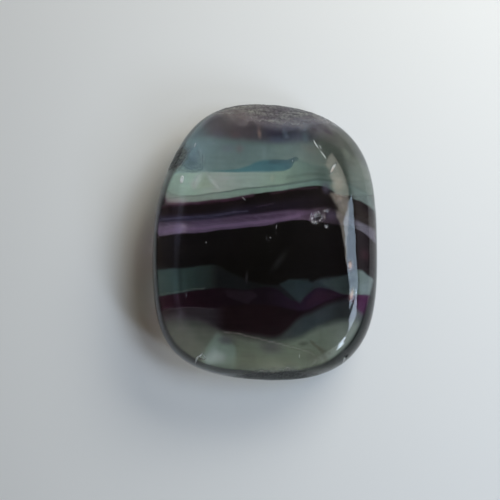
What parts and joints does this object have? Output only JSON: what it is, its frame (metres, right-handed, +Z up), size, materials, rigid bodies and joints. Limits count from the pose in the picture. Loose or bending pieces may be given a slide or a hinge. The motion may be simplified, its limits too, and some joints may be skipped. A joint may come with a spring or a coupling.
{
  "type": "fluorite slab",
  "caption": "Polished rounded slab of banded fluorite, clear green with dark purple growth bands, that lies flat as a mineral specimen or a worry stone.",
  "frame": {"origin": "middle of the flat underside", "axes": "+Y along the slab, +Z up out of the underside, +X across the slab"},
  "size_m": [0.025, 0.031, 0.008],
  "materials": {
    "fluorite": "polished, see-through green with dark purple bands, and frosted where the polish didn't reach"
  },
  "bodies": {
    "root": {"fluorite_slab": "fluorite"}
  },
  "joints": []
}
